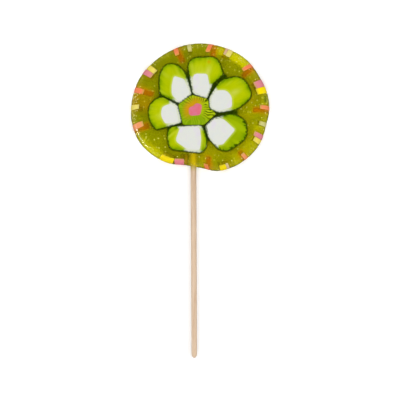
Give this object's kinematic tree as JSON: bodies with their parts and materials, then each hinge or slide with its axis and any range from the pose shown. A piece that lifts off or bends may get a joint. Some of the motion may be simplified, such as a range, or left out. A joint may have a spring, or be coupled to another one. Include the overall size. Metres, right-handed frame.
{
  "type": "lollipop",
  "caption": "Flat round lollipop of clear olive candy with a lime and white flower running through it, coloured rim strips and a plain wooden stick.",
  "frame": {"origin": "on the axis of the flower's pink eye, at the slice's flat back face, which it lies on", "axes": "+Z towards the shown front face, the stick along -Y, +X to the right as the front is seen with the stick down"},
  "size_m": [0.0849, 0.1925, 0.009],
  "materials": {
    "clear_candy": "glossy clear boiled sugar, olive green",
    "lime_candy": "glossy opaque boiled sugar, lime green",
    "white_candy": "glossy opaque pulled sugar, white",
    "striped_green_candy": "glossy boiled sugar, green with fine darker lines",
    "pink_candy": "glossy opaque boiled sugar, pink",
    "salmon_candy": "glossy opaque boiled sugar, salmon",
    "yellow_candy": "glossy opaque boiled sugar, yellow",
    "cream_candy": "glossy opaque boiled sugar, cream",
    "lilac_candy": "glossy opaque boiled sugar, lilac pink",
    "birch": "plain sanded birch"
  },
  "bodies": {
    "root": {"candy_head": "clear_candy", "petal_top": "lime_candy", "petal_upper_right": "lime_candy", "petal_lower_right": "lime_candy", "petal_bottom": "lime_candy", "petal_left": "lime_candy", "petal_upper_left": "lime_candy", "heart_top": "white_candy", "heart_upper_right": "white_candy", "heart_lower_right": "white_candy", "heart_bottom": "white_candy", "heart_left": "white_candy", "heart_upper_left": "white_candy", "flower_centre": "striped_green_candy", "flower_eye": "pink_candy", "rim_strip_01_cream": "cream_candy", "rim_strip_02_salmon": "salmon_candy", "rim_strip_03_lilac": "lilac_candy", "rim_strip_04_yellow": "yellow_candy", "rim_strip_05_salmon": "salmon_candy", "rim_strip_06_lilac": "lilac_candy", "rim_strip_07_yellow": "yellow_candy", "rim_strip_08_salmon": "salmon_candy", "rim_strip_09_cream": "cream_candy", "rim_strip_10_lilac": "lilac_candy", "rim_strip_11_yellow": "yellow_candy", "rim_strip_12_salmon": "salmon_candy", "rim_strip_13_lilac": "lilac_candy", "rim_strip_14_yellow": "yellow_candy", "rim_strip_15_salmon": "salmon_candy", "rim_strip_16_pink": "pink_candy", "rim_strip_17_yellow": "yellow_candy", "rim_strip_18_salmon": "salmon_candy", "rim_strip_19_yellow": "yellow_candy", "rim_strip_20_salmon": "salmon_candy", "rim_strip_21_lilac": "lilac_candy", "rim_strip_22_yellow": "yellow_candy", "rim_strip_23_salmon": "salmon_candy", "stick": "birch"}
  },
  "joints": []
}
